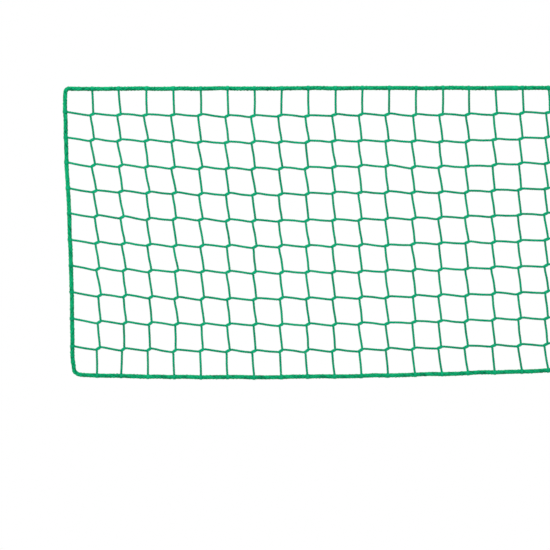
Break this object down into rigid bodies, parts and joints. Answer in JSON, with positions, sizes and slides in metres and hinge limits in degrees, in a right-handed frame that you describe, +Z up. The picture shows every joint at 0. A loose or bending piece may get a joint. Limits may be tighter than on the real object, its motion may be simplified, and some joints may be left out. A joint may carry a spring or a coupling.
{
  "type": "cargo net",
  "caption": "Knotless square-mesh cargo and climbing net of green twine, lashed to a braided border rope with rounded corners.",
  "frame": {"origin": "middle of the top rope's centre line, from which the net hangs", "axes": "+Z up the hanging net, +X along the top rope to the right as seen from the front, +Y through the net to the back"},
  "size_m": [0.9997, 0.0098, 0.5046],
  "materials": {
    "twine": "plaited green polypropylene twine, slightly shiny",
    "rope": "braided green polypropylene rope, slightly shiny",
    "yarn": "green lashing yarn, slightly shiny"
  },
  "bodies": {
    "top_band": {"cross_twine_01": "twine", "cross_twine_02": "twine", "upright_twines_top": "twine", "edge_rope_top": "rope", "lashings_top": "yarn", "lashings_left_top": "yarn", "lashings_right_top": "yarn", "rope_whipping": "yarn"},
    "upper_band": {"cross_twine_03": "twine", "cross_twine_04": "twine", "cross_twine_05": "twine", "upright_twines_upper": "twine", "edge_rope_left_upper": "rope", "edge_rope_right_upper": "rope", "lashings_left_upper": "yarn", "lashings_right_upper": "yarn"},
    "lower_band": {"cross_twine_06": "twine", "cross_twine_07": "twine", "cross_twine_08": "twine", "upright_twines_lower": "twine", "edge_rope_left_lower": "rope", "edge_rope_right_lower": "rope", "lashings_left_lower": "yarn", "lashings_right_lower": "yarn"},
    "bottom_band": {"cross_twine_09": "twine", "cross_twine_10": "twine", "upright_twines_bottom": "twine", "edge_rope_bottom": "rope", "lashings_bottom": "yarn", "lashings_left_bottom": "yarn", "lashings_right_bottom": "yarn"}
  },
  "joints": [
    {"name": "fold_upper", "type": "hinge", "parent": "top_band", "child": "upper_band", "pos_m": [0, 0, -0.1125], "axis": [1, 0, 0], "range_deg": [-90, 90]},
    {"name": "fold_middle", "type": "hinge", "parent": "upper_band", "child": "lower_band", "pos_m": [0, 0, -0.2475], "axis": [1, 0, 0], "range_deg": [-90, 90]},
    {"name": "fold_lower", "type": "hinge", "parent": "lower_band", "child": "bottom_band", "pos_m": [0, 0, -0.3825], "axis": [1, 0, 0], "range_deg": [-90, 90]}
  ]
}
